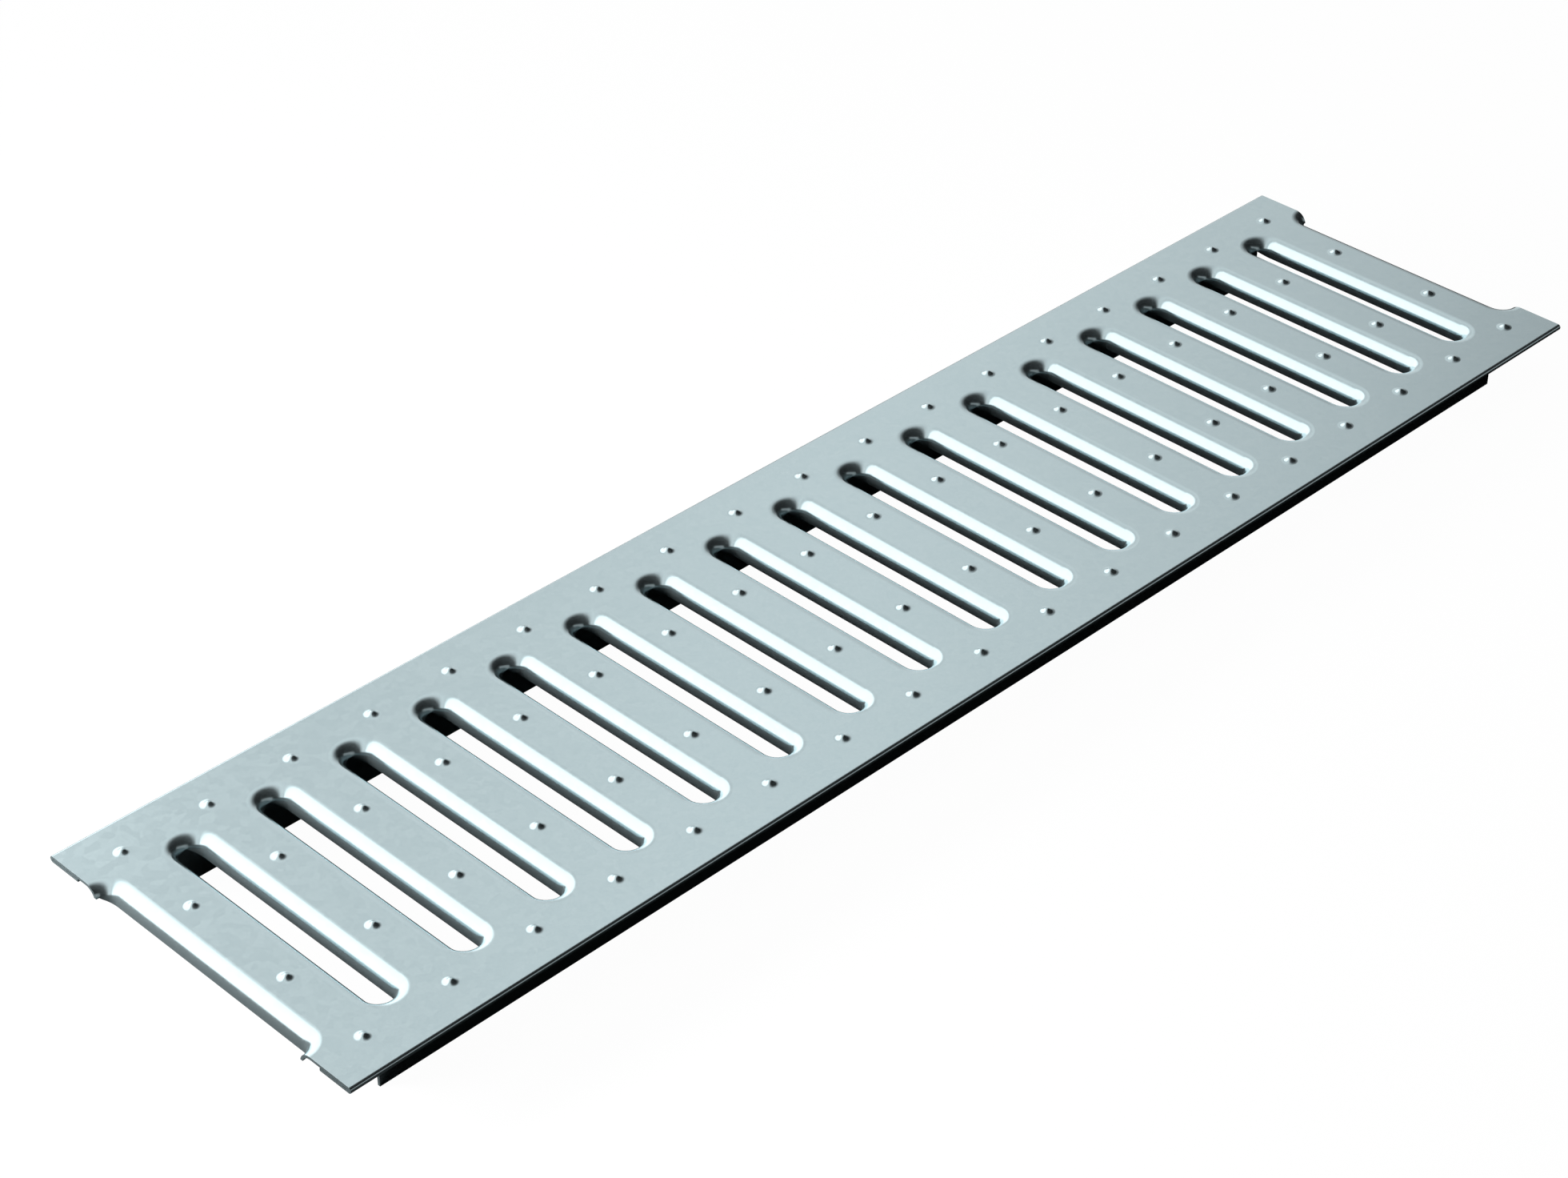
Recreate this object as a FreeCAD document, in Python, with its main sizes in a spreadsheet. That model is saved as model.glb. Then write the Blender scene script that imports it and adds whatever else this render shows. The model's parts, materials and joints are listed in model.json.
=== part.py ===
import FreeCAD, Part
import math
import os
import Sketcher

# Slotted grating that covers a drainage channel of 100 mm nominal width.
# One strip of galvanised sheet: a flat top with pressed slots and nubs, long edges
# hemmed under to make seat rims, and the inner ends of the hems bent down as legs.
#
# Frame: +X along the grating, +Y across it, +Z up. The origin is under the middle
# of the grating, level with the feet of the legs. Millimetres throughout.

SIZES = {
    # the strip and its folds
    "slot_pitch": 27.7778,          # step of the press tool along the strip
    "rib_count": 18,                # ribs between slots; the strip is parted at slot centres
    "width": 123.0,                 # over the two rims
    "height": 20.0,                 # feet of the legs to the walking surface
    "sheet_thickness": 0.9,
    "hem_gap": 0.2,                 # left between the two layers of a hem
    "leg_spacing": 97.0,            # over the outer faces of the legs, inside a 100 mm channel
    "leg_bend_radius": 1.0,         # inside of the bend from hem to leg
    "leg_setback": 18.0,            # each end of a leg to the end of the top
    # the slots, measured on the walking surface where their bends begin
    "slot_width": 16.0,
    "slot_length": 92.0,
    "lip_bend_radius": 4.3,         # of the walking surface as it turns down into a slot
    "lip_depth": 5.8,               # walking surface to the edge of a lip along the slot
    "end_lip_depth": 3.3,           # the same at a slot's round ends, where the lip is shallower
    # the anti-slip nubs, four on each rib
    "nub_diameter": 5.0,
    "nub_crown_radius": 1.3,        # of a nub's rounded top
    "nub_height": 1.0,
    "inner_nub_offset": 19.1,       # centre line of the grating to the inner nubs
    "outer_nub_offset": 49.2,       # centre line of the grating to the outer nubs
    # room by which a cutting shape passes the metal that it cuts
    "cut_margin": 5.0,
}

NODE = "slotted_grating"
SHEET = "sizes"

# Lengths worked out from the sizes, as expressions that the document keeps.
LENGTH = "({0}.slot_pitch * {0}.rib_count)".format(SHEET)
FOLD_RADIUS = "({0}.sheet_thickness + {0}.hem_gap / 2)".format(SHEET)
LEG_TANGENT = "({0}.leg_spacing / 2 + {0}.leg_bend_radius)".format(SHEET)
FIRST_SLOT = "(-{0} / 2)".format(LENGTH)
FIRST_RIB = "({0} + {1}.slot_pitch / 2)".format(FIRST_SLOT, SHEET)
SLOT_END_CENTRE = "(({0}.slot_length - {0}.slot_width) / 2)".format(SHEET)
LIP_WALL = "({0}.slot_width / 2 - {0}.lip_bend_radius)".format(SHEET)

START, END, CENTRE = range(1, 4)    # places on a sketch element
ORIGIN = (-1, 1)                    # a sketch's own origin point
X_AXIS, Y_AXIS = range(-1, -3, -1)  # a sketch's own axes


def size(name):
    """The named size in millimetres."""
    return SIZES[name]


def add_sheet(doc):
    """Put every driving dimension in a spreadsheet cell with an alias."""
    sheet = doc.addObject("Spreadsheet::Sheet", SHEET)
    for row, (name, value) in enumerate(SIZES.items(), start=1):
        sheet.set("A{}".format(row), name)
        sheet.set("B{}".format(row), str(value))
        sheet.setAlias("B{}".format(row), name)
    doc.recompute()
    return sheet


def cell(name):
    """The expression that reads one named size."""
    return "{}.{}".format(SHEET, name)


def origin_feature(body, role):
    """A plane or axis of the body's own origin, found by its role."""
    for feature in body.Origin.OriginFeatures:
        if feature.Role == role:
            return feature
    raise RuntimeError("no origin feature " + role)


def new_sketch(body, name, plane, across=None, up=None, out=None):
    """A sketch on an origin plane, shifted in its own axes by expressions."""
    sketch = body.newObject("Sketcher::SketchObject", name)
    sketch.AttachmentSupport = (origin_feature(body, plane), [""])
    sketch.MapMode = "FlatFace"
    for axis, shift in (("x", across), ("y", up), ("z", out)):
        if shift:
            sketch.setExpression("AttachmentOffset.Base." + axis, shift)
    return sketch


def constrain(sketch, *rule):
    """Add one geometric constraint."""
    sketch.addConstraint(Sketcher.Constraint(*rule))


def dimension(sketch, name, expression, *rule):
    """Add one dimension, name it and bind it to an expression."""
    index = sketch.addConstraint(Sketcher.Constraint(*rule))
    sketch.renameConstraint(index, name)
    sketch.setExpression("Constraints." + name, expression)


def vector(x, y):
    """A point in a sketch."""
    return FreeCAD.Vector(x, y, 0)


def line(x1, y1, x2, y2):
    """A straight sketch element."""
    return Part.LineSegment(vector(x1, y1), vector(x2, y2))


def arc(x, y, radius, from_degrees, to_degrees):
    """A round sketch element, drawn anticlockwise."""
    circle = Part.Circle(vector(x, y), FreeCAD.Vector(0, 0, 1), radius)
    return Part.ArcOfCircle(circle, math.radians(from_degrees), math.radians(to_degrees))


def draw_rectangle(sketch, half_across, half_up, across, up):
    """A rectangle about the sketch's origin; the last two are its expressions."""
    corners = [(-half_across, -half_up), (half_across, -half_up),
               (half_across, half_up), (-half_across, half_up)]
    sides = []
    for (x1, y1), (x2, y2) in zip(corners, corners[1:] + corners[:1]):
        sides.append(sketch.addGeometry(line(x1, y1, x2, y2)))
    bottom, right, top, left = sides
    for side, following in zip(sides, sides[1:] + sides[:1]):
        constrain(sketch, "Coincident", side, END, following, START)
    for side in (bottom, top):
        constrain(sketch, "Horizontal", side)
    for side in (right, left):
        constrain(sketch, "Vertical", side)
    constrain(sketch, "Symmetric", bottom, START, top, START, *ORIGIN)
    dimension(sketch, "across", across, "DistanceX", bottom, START, bottom, END, 2 * half_across)
    dimension(sketch, "up", up, "DistanceY", right, START, right, END, 2 * half_up)


def draw_stadium(sketch, radius, end_centre, radius_rule, end_centre_rule, split_side=False):
    """A slot with round ends along the sketch's y axis, about its origin.

    A split side has a vertex at mid length, where a profile can meet the path.
    """
    back = sketch.addGeometry(arc(0, end_centre, radius, 0, 180))
    left = sketch.addGeometry(line(-radius, end_centre, -radius, -end_centre))
    front = sketch.addGeometry(arc(0, -end_centre, radius, 180, 360))
    if split_side:
        near = sketch.addGeometry(line(radius, -end_centre, radius, 0))
        far = sketch.addGeometry(line(radius, 0, radius, end_centre))
        constrain(sketch, "Coincident", near, END, far, START)
        constrain(sketch, "PointOnObject", near, END, X_AXIS)
        constrain(sketch, "Vertical", near)
    else:
        near = far = sketch.addGeometry(line(radius, -end_centre, radius, end_centre))
    for end_cap in (back, front):
        constrain(sketch, "PointOnObject", end_cap, CENTRE, Y_AXIS)
    constrain(sketch, "Tangent", back, END, left, START)
    constrain(sketch, "Tangent", left, END, front, START)
    constrain(sketch, "Tangent", front, END, near, START)
    constrain(sketch, "Tangent", far, END, back, START)
    dimension(sketch, "radius", radius_rule, "Radius", back, radius)
    dimension(sketch, "back_centre", end_centre_rule, "DistanceY", *ORIGIN, back, CENTRE, end_centre)
    dimension(sketch, "front_centre", end_centre_rule, "DistanceY", front, CENTRE, *ORIGIN, end_centre)


def draw_bent_edge(sketch, tangent, radius, foot, tangent_rule, radius_rule, foot_rule):
    """The section of a strip that comes in flat from +x and turns down through a quarter.

    The sketch's x axis is the strip's upper surface. The bend starts at x = tangent with
    the given radius on that surface, and the strip then runs straight down to y = -foot.
    """
    wall = size("sheet_thickness")
    outside = sketch.addGeometry(arc(tangent, -radius, radius, 90, 180))
    run = sketch.addGeometry(line(tangent - radius, -radius, tangent - radius, -foot))
    edge = sketch.addGeometry(line(tangent - radius, -foot, tangent - radius + wall, -foot))
    back = sketch.addGeometry(line(tangent - radius + wall, -foot, tangent - radius + wall, -radius))
    inside = sketch.addGeometry(arc(tangent, -radius, radius - wall, 90, 180))
    joint = sketch.addGeometry(line(tangent, -wall, tangent, 0))
    constrain(sketch, "Coincident", outside, CENTRE, inside, CENTRE)
    constrain(sketch, "Coincident", joint, END, outside, START)
    constrain(sketch, "Coincident", joint, START, inside, START)
    constrain(sketch, "Coincident", outside, END, run, START)
    constrain(sketch, "Coincident", run, END, edge, START)
    constrain(sketch, "Coincident", edge, END, back, START)
    constrain(sketch, "Coincident", back, END, inside, END)
    constrain(sketch, "PointOnObject", outside, START, X_AXIS)
    constrain(sketch, "Vertical", outside, START, outside, CENTRE)
    constrain(sketch, "Vertical", joint)
    constrain(sketch, "Horizontal", outside, END, outside, CENTRE)
    constrain(sketch, "Horizontal", inside, END, inside, CENTRE)
    constrain(sketch, "Vertical", run)
    constrain(sketch, "Horizontal", edge)
    constrain(sketch, "Vertical", back)
    dimension(sketch, "tangent", tangent_rule, "DistanceX", *ORIGIN, outside, CENTRE, tangent)
    dimension(sketch, "bend", radius_rule, "Radius", outside, radius)
    dimension(sketch, "thickness", cell("sheet_thickness"), "DistanceX", edge, START, edge, END, wall)
    dimension(sketch, "foot", foot_rule, "DistanceY", edge, START, *ORIGIN, foot)


def draw_hem(sketch):
    """The section of one hem: the fold at the rim and the layer that returns under the top.

    The sketch's x axis is the walking surface.
    """
    wall, gap = size("sheet_thickness"), size("hem_gap")
    fold = wall + gap / 2
    centre = size("width") / 2 - fold
    tangent = size("leg_spacing") / 2 + size("leg_bend_radius")
    outside = sketch.addGeometry(arc(centre, -fold, fold, -90, 90))
    joint = sketch.addGeometry(line(centre, 0, centre, -wall))
    inside = sketch.addGeometry(arc(centre, -fold, gap / 2, -90, 90))
    upper = sketch.addGeometry(line(centre, -wall - gap, tangent, -wall - gap))
    edge = sketch.addGeometry(line(tangent, -wall - gap, tangent, -2 * fold))
    lower = sketch.addGeometry(line(tangent, -2 * fold, centre, -2 * fold))
    constrain(sketch, "Coincident", outside, CENTRE, inside, CENTRE)
    constrain(sketch, "Coincident", outside, END, joint, START)
    constrain(sketch, "Coincident", joint, END, inside, END)
    constrain(sketch, "Coincident", upper, END, edge, START)
    constrain(sketch, "Coincident", edge, END, lower, START)
    constrain(sketch, "Tangent", inside, START, upper, START)
    constrain(sketch, "Tangent", lower, END, outside, START)
    constrain(sketch, "PointOnObject", outside, END, X_AXIS)
    constrain(sketch, "Vertical", joint)
    constrain(sketch, "Vertical", outside, END, outside, CENTRE)
    constrain(sketch, "Horizontal", upper)
    constrain(sketch, "Horizontal", lower)
    constrain(sketch, "Vertical", edge)
    half_width = "{} / 2 - {}".format(cell("width"), FOLD_RADIUS)
    dimension(sketch, "fold_centre", half_width, "DistanceX", *ORIGIN, outside, CENTRE, centre)
    dimension(sketch, "fold", FOLD_RADIUS, "Radius", outside, fold)
    dimension(sketch, "gap", cell("hem_gap") + " / 2", "Radius", inside, gap / 2)
    dimension(sketch, "tangent", LEG_TANGENT, "DistanceX", *ORIGIN, edge, START, tangent)


def draw_nub(sketch, crown_radius, crown_rule):
    """Half the section of a nub that stands on the sketch's x axis, about its y axis.

    A hollow curve rises from the sheet and runs into the round crown. The two radii
    always add up to the same length, so a smaller crown gives the parallel curve beneath.
    """
    base, rise = size("nub_diameter") / 2, size("nub_height")
    both_radii = (base ** 2 + rise ** 2) / (2 * rise)
    hollow_radius = both_radii - crown_radius
    slope = math.degrees(math.asin(base / both_radii))
    foot = sketch.addGeometry(line(0, 0, base, 0))
    flank = sketch.addGeometry(arc(base, hollow_radius, hollow_radius, 270 - slope, 270))
    crown = sketch.addGeometry(arc(0, rise - crown_radius, crown_radius, 90 - slope, 90))
    axis = sketch.addGeometry(line(0, rise, 0, 0))
    constrain(sketch, "Tangent", foot, END, flank, END)
    constrain(sketch, "Tangent", flank, START, crown, START)
    constrain(sketch, "Coincident", crown, END, axis, START)
    constrain(sketch, "Coincident", axis, END, foot, START)
    constrain(sketch, "Coincident", foot, START, *ORIGIN)
    constrain(sketch, "Horizontal", foot)
    constrain(sketch, "Vertical", axis)
    constrain(sketch, "PointOnObject", crown, CENTRE, Y_AXIS)
    dimension(sketch, "base", cell("nub_diameter") + " / 2",
              "DistanceX", foot, START, foot, END, base)
    dimension(sketch, "rise", cell("nub_height"), "DistanceY", axis, END, axis, START, rise)
    dimension(sketch, "crown", crown_rule, "Radius", crown, crown_radius)


def draw_lip_relief(sketch, side):
    """The part of a lip that is missing round one end of a slot.

    The edge rises in an arc from the full depth, where the slot's end begins, to the
    end depth at the lip's farthest wall. The sketch's x axis is the walking surface,
    and side is 1 for the back end or -1 for the front.
    """
    margin = size("cut_margin")
    start = (size("slot_length") - size("slot_width")) / 2
    reach = size("slot_width") / 2 - size("lip_bend_radius")
    full, shallow = size("lip_depth"), size("end_lip_depth")
    rise = full - shallow
    radius = (reach ** 2 + rise ** 2) / (2 * rise)
    swing = math.degrees(math.asin(reach / radius))
    angles = (270, 270 + swing) if side > 0 else (270 - swing, 270)
    low, high = (START, END) if side > 0 else (END, START)
    far = start + reach + margin
    rising = sketch.addGeometry(arc(side * start, radius - full, radius, *angles))
    level = sketch.addGeometry(line(side * (start + reach), -shallow, side * far, -shallow))
    outer = sketch.addGeometry(line(side * far, -shallow, side * far, -full - margin))
    under = sketch.addGeometry(line(side * far, -full - margin, side * start, -full - margin))
    inner = sketch.addGeometry(line(side * start, -full - margin, side * start, -full))
    constrain(sketch, "Coincident", rising, high, level, START)
    constrain(sketch, "Coincident", level, END, outer, START)
    constrain(sketch, "Coincident", outer, END, under, START)
    constrain(sketch, "Coincident", under, END, inner, START)
    constrain(sketch, "Coincident", inner, END, rising, low)
    constrain(sketch, "Vertical", rising, low, rising, CENTRE)
    constrain(sketch, "Horizontal", level)
    constrain(sketch, "Vertical", outer)
    constrain(sketch, "Horizontal", under)
    constrain(sketch, "Vertical", inner)
    name = "back" if side > 0 else "front"
    from_origin = (*ORIGIN, inner, END) if side > 0 else (inner, END, *ORIGIN)
    dimension(sketch, name + "_start", SLOT_END_CENTRE, "DistanceX", *from_origin, start)
    across = (level, START) if side > 0 else (inner, END)
    reach_points = ((inner, END) + across) if side > 0 else ((level, START) + across)
    dimension(sketch, name + "_reach", LIP_WALL, "DistanceX", *reach_points, reach)
    margin_points = (level, START, level, END) if side > 0 else (level, END, level, START)
    dimension(sketch, name + "_margin", cell("cut_margin"), "DistanceX", *margin_points, margin)
    dimension(sketch, name + "_full", cell("lip_depth"), "DistanceY", inner, END, *ORIGIN, full)
    dimension(sketch, name + "_end", cell("end_lip_depth"), "DistanceY", level, START, *ORIGIN, shallow)
    dimension(sketch, name + "_drop", cell("cut_margin"), "DistanceY", inner, START, inner, END, margin)


def pad(body, name, sketch, length, symmetric=False, down=False):
    """Extrude a sketch into metal; the length is an expression."""
    feature = body.newObject("PartDesign::Pad", name)
    feature.Profile = sketch
    feature.setExpression("Length", length)
    feature.SideType = "Symmetric" if symmetric else "One side"
    feature.Reversed = down
    return feature


def pocket(body, name, sketch, length, symmetric=False):
    """Cut a sketch out of the metal; the length is an expression."""
    feature = body.newObject("PartDesign::Pocket", name)
    feature.Profile = sketch
    feature.setExpression("Length", length)
    feature.SideType = "Symmetric" if symmetric else "One side"
    return feature


def turn(body, kind, name, sketch):
    """Revolve a sketch a full turn about its own y axis, as metal or as a cut."""
    feature = body.newObject("PartDesign::" + kind, name)
    feature.Profile = sketch
    feature.ReferenceAxis = (sketch, ["V_Axis"])
    feature.Angle = 360
    return feature


def build_top(body):
    """The flat top between the folds of the two rims."""
    flat = size("width") - 2 * size("sheet_thickness") - size("hem_gap")
    sketch = new_sketch(body, "top_outline", "XY_Plane", out=cell("height"))
    draw_rectangle(sketch, size("slot_pitch") * size("rib_count") / 2, flat / 2,
                   LENGTH, "{} - 2 * {}".format(cell("width"), FOLD_RADIUS))
    return pad(body, "top", sketch, cell("sheet_thickness"), down=True)


def build_rims_and_legs(body):
    """Hem each long edge under and bend its inner end down into a leg."""
    hem_sketch = new_sketch(body, "hem_section", "YZ_Plane", up=cell("height"))
    draw_hem(hem_sketch)
    hem = pad(body, "hem", hem_sketch, LENGTH, symmetric=True)

    return_level = "{} - {} - {}".format(cell("height"), cell("sheet_thickness"), cell("hem_gap"))
    leg_sketch = new_sketch(body, "leg_section", "YZ_Plane", up=return_level)
    draw_bent_edge(
        leg_sketch,
        size("leg_spacing") / 2 + size("leg_bend_radius"),
        size("leg_bend_radius") + size("sheet_thickness"),
        size("height") - size("sheet_thickness") - size("hem_gap"),
        LEG_TANGENT,
        "{} + {}".format(cell("leg_bend_radius"), cell("sheet_thickness")),
        return_level,
    )
    leg = pad(body, "leg", leg_sketch, "{} - 2 * {}".format(LENGTH, cell("leg_setback")),
              symmetric=True)

    mirror = body.newObject("PartDesign::Mirrored", "second_rim_and_leg")
    mirror.Originals = [hem, leg]
    mirror.MirrorPlane = (origin_feature(body, "XZ_Plane"), [""])
    body.Tip = mirror
    return mirror


def build_slots(body):
    """Pierce the slots and turn their edges down into lips, from end to end."""
    radius = size("slot_width") / 2
    end_centre = (size("slot_length") - size("slot_width")) / 2
    rules = (cell("slot_width") + " / 2", SLOT_END_CENTRE)

    opening_sketch = new_sketch(body, "slot_outline", "XY_Plane", across=FIRST_SLOT, out=cell("height"))
    draw_stadium(opening_sketch, radius, end_centre, *rules)
    opening = pocket(body, "slot_opening", opening_sketch, cell("sheet_thickness"))

    path = new_sketch(body, "lip_path", "XY_Plane", across=FIRST_SLOT, out=cell("height"))
    draw_stadium(path, radius, end_centre, *rules, split_side=True)
    section = new_sketch(body, "lip_section", "XZ_Plane", across=FIRST_SLOT, up=cell("height"))
    draw_bent_edge(section, radius, size("lip_bend_radius"), size("lip_depth"),
                   cell("slot_width") + " / 2", cell("lip_bend_radius"), cell("lip_depth"))
    lip = body.newObject("PartDesign::AdditivePipe", "lip")
    lip.Profile = section
    lip.Spine = path

    relief_sketch = new_sketch(body, "lip_relief_outline", "YZ_Plane", up=cell("height"), out=FIRST_SLOT)
    draw_lip_relief(relief_sketch, 1)
    draw_lip_relief(relief_sketch, -1)
    relief = pocket(body, "lip_relief", relief_sketch, cell("slot_width"), symmetric=True)

    row = body.newObject("PartDesign::LinearPattern", "slot_row")
    row.Originals = [opening, lip, relief]
    row.Direction = (origin_feature(body, "X_Axis"), [""])
    row.Mode = "Spacing"
    row.setExpression("Offset", cell("slot_pitch"))
    row.setExpression("Occurrences", cell("rib_count") + " + 1")
    body.Tip = row
    return [opening, relief, row]


def build_end_trims(body):
    """Part the strip at the centres of the first and last slots."""
    reach = size("slot_width") / 2 + size("cut_margin")
    cuts = []
    for name, side in (("near_end_trim", -1), ("far_end_trim", 1)):
        shift = "{} * ({} / 2 + {} / 4 + {} / 2)".format(
            side, LENGTH, cell("slot_width"), cell("cut_margin"))
        sketch = new_sketch(body, name + "_outline", "XY_Plane", across=shift, out=cell("height"))
        draw_rectangle(sketch, reach / 2, size("width") / 2,
                       "{} / 2 + {}".format(cell("slot_width"), cell("cut_margin")), cell("width"))
        cuts.append(pocket(body, name, sketch, cell("height")))
    return cuts


def build_nubs(body):
    """Press four anti-slip nubs up from each rib.

    The inner nubs are hollow beneath. The hems hide the undersides of the outer nubs,
    which stay solid.
    """
    crown = size("nub_crown_radius")
    features = []
    for place in ("inner", "outer"):
        out = "-{}".format(cell(place + "_nub_offset"))
        outside = new_sketch(body, place + "_nub_section", "XZ_Plane", FIRST_RIB, cell("height"), out)
        draw_nub(outside, crown, cell("nub_crown_radius"))
        features.append(turn(body, "Revolution", place + "_nub", outside))
    underside = "{} - {}".format(cell("height"), cell("sheet_thickness"))
    hollow = new_sketch(body, "inner_dimple_section", "XZ_Plane", FIRST_RIB, underside,
                        "-" + cell("inner_nub_offset"))
    draw_nub(hollow, crown - size("sheet_thickness"),
             "{} - {}".format(cell("nub_crown_radius"), cell("sheet_thickness")))
    features.append(turn(body, "Groove", "inner_dimple", hollow))

    grid = body.newObject("PartDesign::MultiTransform", "nub_grid")
    along = body.newObject("PartDesign::LinearPattern", "nubs_along")
    along.Direction = (origin_feature(body, "X_Axis"), [""])
    along.Mode = "Spacing"
    along.setExpression("Offset", cell("slot_pitch"))
    along.setExpression("Occurrences", cell("rib_count"))
    across = body.newObject("PartDesign::Mirrored", "nubs_across")
    across.MirrorPlane = (origin_feature(body, "XZ_Plane"), [""])
    grid.Originals = features
    grid.Transformations = [along, across]
    body.Tip = grid
    return features[-1]


def check_document(doc, body):
    """Stop if anything failed to recompute or the sheet metal isn't one sound solid."""
    for item in doc.Objects:
        faults = {"Invalid", "Error"} & set(item.State)
        if faults:
            raise RuntimeError("{} is {}".format(item.Name, ", ".join(sorted(faults))))
    shape = body.Shape
    if shape.isNull() or not shape.isValid():
        raise RuntimeError(body.Label + " has no valid shape")
    if len(shape.Solids) != 1:
        raise RuntimeError("{} has {} solids".format(body.Label, len(shape.Solids)))


def check_cuts(cuts):
    """Stop if a cut took no metal away."""
    for cut in cuts:
        if cut.Shape.Volume > cut.BaseFeature.Shape.Volume - 1e-3:
            raise RuntimeError(cut.Name + " cuts nothing")


def main():
    doc = FreeCAD.newDocument("channel_grating")
    add_sheet(doc)
    body = doc.addObject("PartDesign::Body", NODE)
    body.Label = NODE

    build_top(body)
    build_rims_and_legs(body)
    doc.recompute()
    slot_features = build_slots(body)
    doc.recompute()
    cuts = build_end_trims(body)
    doc.recompute()
    cuts.append(build_nubs(body))
    doc.recompute()

    check_document(doc, body)
    check_cuts(slot_features[:2] + cuts)
    os.makedirs("parts", exist_ok=True)
    body.Shape.exportStep(os.path.join("parts", NODE + ".step"))
    box = body.Shape.BoundBox
    print("{}: {:.2f} x {:.2f} x {:.2f} mm, {:.0f} mm3".format(
        NODE, box.XLength, box.YLength, box.ZLength, body.Shape.Volume))


main()
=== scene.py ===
"""Finish, studio and camera for a slotted drainage grating of galvanised sheet steel.

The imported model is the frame: +X runs along the grating, +Y across it and +Z up, in
metres, with the origin under the grating's middle on the floor that its legs stand on.
"""

import json
import logging
import math
from dataclasses import dataclass
from enum import Enum
from typing import Any

import bpy
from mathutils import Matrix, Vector

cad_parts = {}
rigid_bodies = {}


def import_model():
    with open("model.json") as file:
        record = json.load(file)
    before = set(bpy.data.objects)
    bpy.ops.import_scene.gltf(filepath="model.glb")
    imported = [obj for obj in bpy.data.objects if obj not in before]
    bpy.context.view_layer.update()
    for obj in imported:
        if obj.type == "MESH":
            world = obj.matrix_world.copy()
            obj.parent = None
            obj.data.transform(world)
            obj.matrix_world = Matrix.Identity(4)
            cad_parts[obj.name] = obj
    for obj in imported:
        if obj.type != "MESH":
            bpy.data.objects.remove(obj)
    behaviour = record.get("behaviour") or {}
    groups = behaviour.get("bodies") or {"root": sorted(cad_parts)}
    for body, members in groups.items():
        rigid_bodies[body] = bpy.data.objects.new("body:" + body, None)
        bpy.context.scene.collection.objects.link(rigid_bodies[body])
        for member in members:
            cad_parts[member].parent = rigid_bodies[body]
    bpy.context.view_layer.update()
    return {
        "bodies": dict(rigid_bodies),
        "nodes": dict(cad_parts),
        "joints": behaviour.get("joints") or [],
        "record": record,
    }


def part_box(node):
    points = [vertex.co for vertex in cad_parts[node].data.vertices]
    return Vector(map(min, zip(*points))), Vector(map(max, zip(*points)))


LOG = logging.getLogger("slotted_grating")
MM = 0.001

# Settings of the nodes that are used more than once. A colour Mix takes its two colours at
# inputs 6 and 7, and gives its result at output 2.
MULTIPLY = {"operation": "MULTIPLY"}
MULTIPLY_ADD = {"operation": "MULTIPLY_ADD"}
MAXIMUM = {"operation": "MAXIMUM"}
COLOUR = {"data_type": "RGBA"}
SMOOTH = {"interpolation_type": "SMOOTHSTEP"}

Socket = bpy.types.NodeSocket
Point = tuple[float, float, float]


class Ray(Enum):
    """Kinds of light ray that a surface can answer in its own way."""

    CAMERA = "Is Camera Ray"
    DIFFUSE = "Is Diffuse Ray"
    GLOSSY = "Is Glossy Ray"
    TRANSMISSION = "Is Transmission Ray"


def linear(hex_colour: str) -> tuple[float, float, float, float]:
    """Turn an sRGB hex colour into the linear RGBA that a shader socket holds.

    Args:
        hex_colour: Six hex digits after a hash.

    Returns:
        Linear red, green and blue, and an alpha of 1.
    """
    digits = hex_colour.lstrip("#")
    values = [int(digits[start:start + 2], 16) / 255 for start in (0, 2, 4)]
    red, green, blue = (value / 12.92 if value <= 0.04045 else ((value + 0.055) / 1.055) ** 2.4
                        for value in values)
    return red, green, blue, 1.0


def add_node(tree: bpy.types.NodeTree, kind: str, settings: dict[str, Any] | None = None,
             **inputs: Any) -> bpy.types.Node:
    """Add one shader node, set its options and fill its inputs.

    Args:
        tree: The node tree that gets the node.
        kind: The node's type name, without the leading Shader Node.
        settings: Options of the node itself, such as its operation.
        **inputs: Inputs by name, with _ for a space, or in_0, in_1 and so on by number.
            A socket, or a node's first output, is linked, and any other value is set.

    Returns:
        The new node.
    """
    node = tree.nodes.new("ShaderNode" + kind)
    for name, value in (settings or {}).items():
        setattr(node, name, value)
    for name, value in inputs.items():
        key = int(name[3:]) if name.startswith("in_") else name.replace("_", " ")
        if isinstance(value, bpy.types.Node):
            value = value.outputs[0]
        if isinstance(value, Socket):
            tree.links.new(value, node.inputs[key])
        else:
            node.inputs[key].default_value = value
    return node


def blank_tree(owner: Any, output_kind: str) -> tuple[bpy.types.NodeTree, bpy.types.Node]:
    """Empty a material's or a world's node tree and give it an output.

    Args:
        owner: The material or world.
        output_kind: The output node's type name, without the leading Shader Node.

    Returns:
        The tree and its output node.
    """
    owner.use_nodes = True
    owner.node_tree.nodes.clear()
    return owner.node_tree, add_node(owner.node_tree, output_kind)


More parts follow.
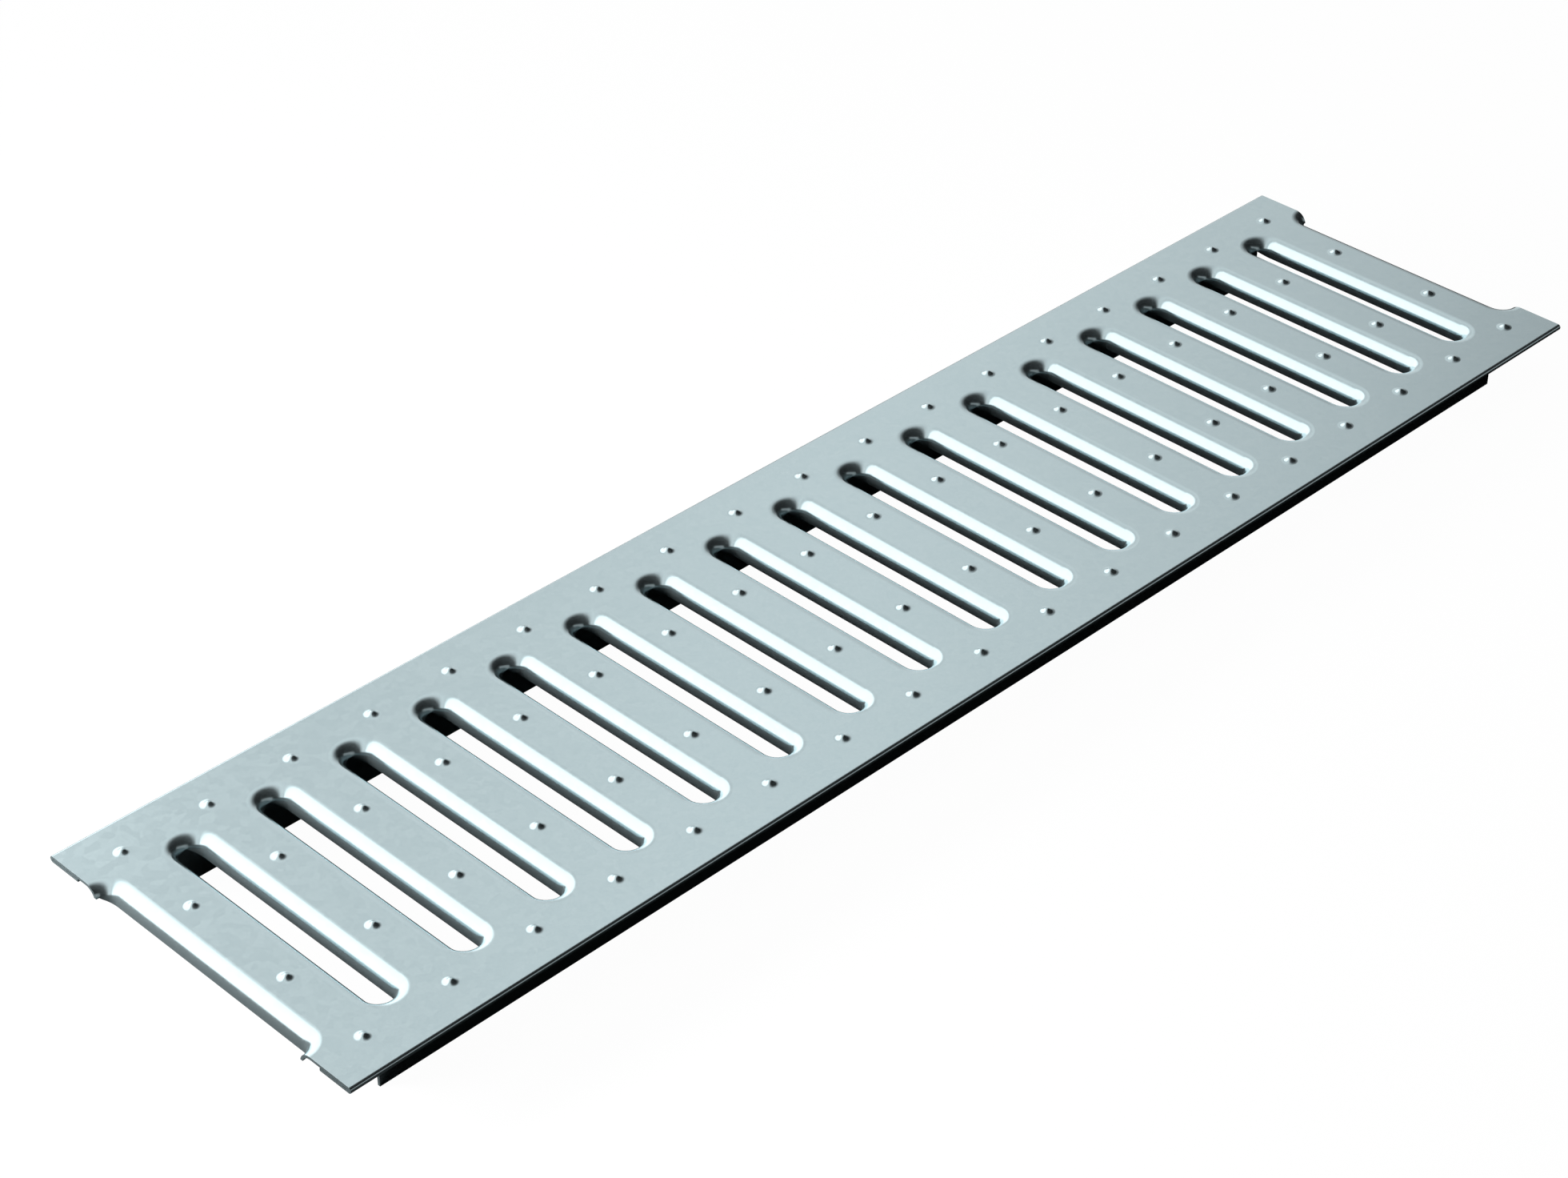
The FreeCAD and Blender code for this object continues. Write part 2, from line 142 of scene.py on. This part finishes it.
@dataclass(frozen=True)
class GalvanisedSheet:
    """Hot-dip galvanised steel sheet, skin-passed, then punched, pressed and folded.

    The zinc froze on the strip in small crystals. The eye sees a pale blue-grey satin metal,
    with a fine mottle and only a slight change of gloss from one crystal to the next. It is
    bright where it faces light and nearly black where it faces none.
    """

    bright_zinc: str = "#CBDDE1"
    dull_zinc: str = "#BCD0D5"
    metallic: float = 0.85      # thin white oxide covers the rest
    roughness: float = 0.19
    gloss_step: float = 0.04    # from the glossiest crystal to the dullest
    crystal_mm: float = 2.4     # minimised spangle, drawn about twice its size so that it shows
    grain_mm: float = 0.7       # texture that the skin-pass roll leaves
    cloud_mm: float = 30.0      # slow change of coating weight
    grain_share: float = 0.6    # how far each pattern takes the colour towards the bright zinc
    crystal_share: float = 0.25
    cloud_share: float = 0.3
    octaves: float = 3.0        # finer layers in the grain and clouds, and how strong each is
    octave_strength: float = 0.6
    relief: float = 0.06
    relief_mm: float = 0.02

    def build(self) -> bpy.types.Material:
        """Make the material.

        Returns:
            The finished material.
        """
        material = bpy.data.materials.new("galvanised_sheet_steel")
        tree, output = blank_tree(material, "OutputMaterial")
        place = add_node(tree, "TexCoord").outputs["Object"]
        crystals = add_node(tree, "TexVoronoi", Vector=place, Scale=1 / (self.crystal_mm * MM))
        crystal = add_node(tree, "SeparateColor", Color=crystals.outputs["Color"]).outputs["Red"]
        grain, cloud = (add_node(tree, "TexNoise", Vector=place, Scale=1 / (size_mm * MM),
                                 Detail=self.octaves, Roughness=self.octave_strength)
                        for size_mm in (self.grain_mm, self.cloud_mm))

        tone = add_node(tree, "Math", MULTIPLY, in_0=grain, in_1=self.grain_share)
        tone = add_node(tree, "Math", MULTIPLY_ADD, in_0=crystal, in_1=self.crystal_share, in_2=tone)
        tone = add_node(tree, "Math", MULTIPLY_ADD, in_0=cloud, in_1=self.cloud_share, in_2=tone)
        colour = add_node(tree, "Mix", COLOUR, Factor=tone,
                          in_6=linear(self.dull_zinc), in_7=linear(self.bright_zinc))
        gloss = add_node(tree, "Math", MULTIPLY_ADD, in_0=crystal, in_1=self.gloss_step,
                         in_2=self.roughness - self.gloss_step / 2)
        bump = add_node(tree, "Bump", Strength=self.relief, Distance=self.relief_mm * MM, Height=grain)
        shader = add_node(tree, "BsdfPrincipled", Base_Color=colour.outputs[2],
                          Metallic=self.metallic, Roughness=gloss, Normal=bump)
        tree.links.new(shader.outputs[0], output.inputs["Surface"])
        return material


@dataclass(frozen=True)
class FloorPaint:
    """Matt white emulsion on board, which the eye sees as a plain, even, shadowless white.

    To light that bounces off it and to the steel's mirror, the whole floor is painted dark grey, a
    painted shade that stands in for the shade between floor and grating.
    """

    white: str = "#F4F6F6"
    painted_shade: str = "#3C3E3E"      # painted shade: the floor's colour as the steel mirrors it and as light bounces off it
    evenness: float = 0.93      # the rest still takes the lamps' light and the shadow
    even_level: float = 1.05

    def build(self) -> bpy.types.Material:
        """Make the material.

        Returns:
            The finished material.
        """
        material = bpy.data.materials.new("white_floor_paint")
        tree, output = blank_tree(material, "OutputMaterial")
        rays = add_node(tree, "LightPath").outputs
        seen = add_node(tree, "Math", MAXIMUM, in_0=rays[Ray.CAMERA.value],
                        in_1=rays[Ray.TRANSMISSION.value])
        share = add_node(tree, "Math", MULTIPLY, in_0=seen, in_1=self.evenness)
        bounced = add_node(tree, "Math", MAXIMUM, in_0=rays[Ray.DIFFUSE.value],
                           in_1=rays[Ray.GLOSSY.value])
        # painted shade: diffuse and glossy rays see the floor dark grey instead of white
        colour = add_node(tree, "Mix", COLOUR, Factor=bounced,
                          in_6=linear(self.white), in_7=linear(self.painted_shade))
        lit = add_node(tree, "BsdfDiffuse", Color=colour.outputs[2])
        even = add_node(tree, "Emission", Color=linear("#FFFFFF"), Strength=self.even_level)
        mixed = add_node(tree, "MixShader", in_0=share, in_1=lit, in_2=even)
        tree.links.new(mixed.outputs[0], output.inputs["Surface"])
        return material


@dataclass
class SlottedGrating:
    """The folded and pressed sheet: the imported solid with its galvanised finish."""

    node: str = "slotted_grating"
    width: float = 123 * MM
    height: float = 21 * MM     # from the legs' feet to the nubs' crowns

    def dress(self, frame: dict[str, Any], finish: GalvanisedSheet) -> bpy.types.Object:
        """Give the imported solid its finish.

        Args:
            frame: The loaded frame.
            finish: The sheet's finish.

        Returns:
            The solid's object.
        """
        grating = frame["nodes"][self.node]
        steel = finish.build()
        for slot in grating.material_slots:
            slot.material = steel
        low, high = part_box(self.node)
        LOG.info("%s: %s, %.1f mm wide (%.1f drawn), %.1f mm high (%.1f drawn)", self.node, steel.name,
                 (high[1] - low[1]) / MM, self.width / MM, (high[2] - low[2]) / MM, self.height / MM)
        return grating


@dataclass
class StudioFloor:
    """The flat white floor that the grating's legs stand on."""

    half_width: float = 6.0

    def build(self, paint: FloorPaint) -> bpy.types.Object:
        """Make the floor.

        Args:
            paint: The floor's finish.

        Returns:
            The floor's object, which is no part of the grating.
        """
        reach = self.half_width
        mesh = bpy.data.meshes.new("floor")
        mesh.from_pydata([(-reach, -reach, 0), (reach, -reach, 0), (reach, reach, 0),
                          (-reach, reach, 0)], [], [(0, 1, 2, 3)])
        mesh.materials.append(paint.build())
        floor = bpy.data.objects.new("floor", mesh)
        bpy.context.scene.collection.objects.link(floor)
        LOG.info("floor: %.0f m square", 2 * reach)
        return floor


@dataclass(frozen=True)
class Surroundings:
    """What the steel mirrors: white walls at the back left, dark ones at the front right.

    Each step is a place from the dark side, 0, to the bright side, 1, and how bright it is
    there. A low grey card on the dark side fades out over the places and the heights given.
    """

    bright_side: Point = (-0.5, 0.866, 0.0)
    strength: float = 2.6
    diffuse_strength: float = 0.015     # so that only the softboxes light the matt share
    steps: tuple[tuple[float, float], ...] = (
        (0.0, 0.005), (0.25, 0.003), (0.38, 0.004), (0.46, 0.11),
        (0.525, 0.29), (0.60, 0.375), (0.70, 0.268), (0.74, 0.7))

    card_level: float = 0.14
    card_side: tuple[float, float] = (0.16, 0.07)
    card_height: tuple[float, float] = (0.42, 0.32)

    def build(self) -> bpy.types.World:
        """Make the world.

        Returns:
            The scene's world.
        """
        world = bpy.data.worlds.new("studio")
        bpy.context.scene.world = world
        world.cycles.sampling_method = "NONE"
        tree, output = blank_tree(world, "OutputWorld")
        rays = add_node(tree, "LightPath").outputs
        seen = add_node(tree, "Math", MAXIMUM, in_0=rays[Ray.CAMERA.value],
                        in_1=rays[Ray.TRANSMISSION.value])
        direction = add_node(tree, "TexCoord").outputs["Generated"]
        side = add_node(tree, "VectorMath", {"operation": "DOT_PRODUCT"}, in_0=direction,
                        in_1=self.bright_side).outputs["Value"]
        place = add_node(tree, "MapRange", Value=side, From_Min=-1.0, From_Max=1.0)
        walls = add_node(tree, "ValToRGB", Fac=place)
        elements = walls.color_ramp.elements
        while len(elements) < len(self.steps):
            elements.new(0.5)
        for element, (position, level) in zip(elements, self.steps):
            element.position = position
            element.color = (level, level, level, 1)
        height = add_node(tree, "SeparateXYZ", Vector=direction).outputs["Z"]
        card: Any = self.card_level
        for value, (start, end) in ((place, self.card_side), (height, self.card_height)):
            fade = add_node(tree, "MapRange", SMOOTH, Value=value,
                            From_Min=start, From_Max=end)
            card = add_node(tree, "Math", MULTIPLY, in_0=fade, in_1=card)
        brighter = add_node(tree, "Math", MAXIMUM, in_0=walls, in_1=card)
        mirrored = add_node(tree, "Background", Color=brighter, Strength=self.strength)
        bounced = add_node(tree, "Background", Color=linear("#FFFFFF"), Strength=self.diffuse_strength)
        plain = add_node(tree, "Background", Color=linear("#FFFFFF"), Strength=1.0)
        lit = add_node(tree, "MixShader", in_0=rays[Ray.DIFFUSE.value], in_1=mirrored,
                       in_2=bounced)
        mixed = add_node(tree, "MixShader", in_0=seen, in_1=lit, in_2=plain)
        tree.links.new(mixed.outputs[0], output.inputs["Surface"])
        LOG.info("surroundings: %d steps from dark to bright", len(self.steps))
        return world


@dataclass(frozen=True)
class Softbox:
    """A square softbox that lights the steel but isn't mirrored in it."""

    name: str
    place: Point    # metres
    size: float     # metres along a side
    watts: float

    def build(self) -> bpy.types.Object:
        """Hang the softbox and aim it at the grating.

        Returns:
            The lamp's object.
        """
        light = bpy.data.lights.new(self.name, "AREA")
        light.shape = "SQUARE"
        light.size = self.size
        light.energy = self.watts
        lamp = bpy.data.objects.new(self.name, light)
        lamp.location = self.place
        lamp.rotation_euler = (-Vector(self.place)).to_track_quat("-Z", "Y").to_euler()
        lamp.visible_glossy = False
        bpy.context.scene.collection.objects.link(lamp)
        LOG.info("%s softbox: %.1f W", self.name, self.watts)
        return lamp


@dataclass(frozen=True)
class ViewCamera:
    """The camera, which looks down along the grating over its near left corner."""

    heading_deg: float = 44.96      # from +Y towards +X
    drop_deg: float = 35.306        # below level
    distance: float = 0.98262
    target: Point = (-0.0313, 0.01143, 0.020)   # on the top face
    lens_mm: float = 78.49
    sensor_mm: float = 36.0
    nearest: float = 0.01
    farthest: float = 100.0

    def build(self) -> bpy.types.Object:
        """Set up the camera and make it the scene's.

        Returns:
            The camera's object.
        """
        data = bpy.data.cameras.new("camera")
        data.lens = self.lens_mm
        data.sensor_width = self.sensor_mm
        data.clip_start = self.nearest
        data.clip_end = self.farthest
        camera = bpy.data.objects.new("camera", data)
        heading, drop = math.radians(self.heading_deg), math.radians(self.drop_deg)
        ahead = Vector((math.cos(drop) * math.sin(heading), math.cos(drop) * math.cos(heading),
                        -math.sin(drop)))
        camera.location = Vector(self.target) - self.distance * ahead
        camera.rotation_euler = (math.pi / 2 - drop, 0, -heading)
        bpy.context.scene.collection.objects.link(camera)
        bpy.context.scene.camera = camera
        LOG.info("camera: %.2f mm lens, %.2f m away", self.lens_mm, self.distance)
        return camera


def main() -> None:
    """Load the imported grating, finish it, light it and measure it."""
    logging.basicConfig(level=logging.INFO)
    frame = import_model()
    ViewCamera().build()
    SlottedGrating().dress(frame, GalvanisedSheet())
    StudioFloor().build(FloorPaint())
    Surroundings().build()
    for softbox in (Softbox("key", place=(-0.85, 0.75, 0.6), size=0.4, watts=4.0),
                    Softbox("near_end", place=(-0.48, 0.20, 0.14), size=0.2, watts=2.5),
                    Softbox("overhead", place=(0.0, 0.0, 1.6), size=1.0, watts=3.0)):
        softbox.build()
    bpy.context.scene.view_settings.view_transform = "Standard"


if __name__ == "__main__":
    main()
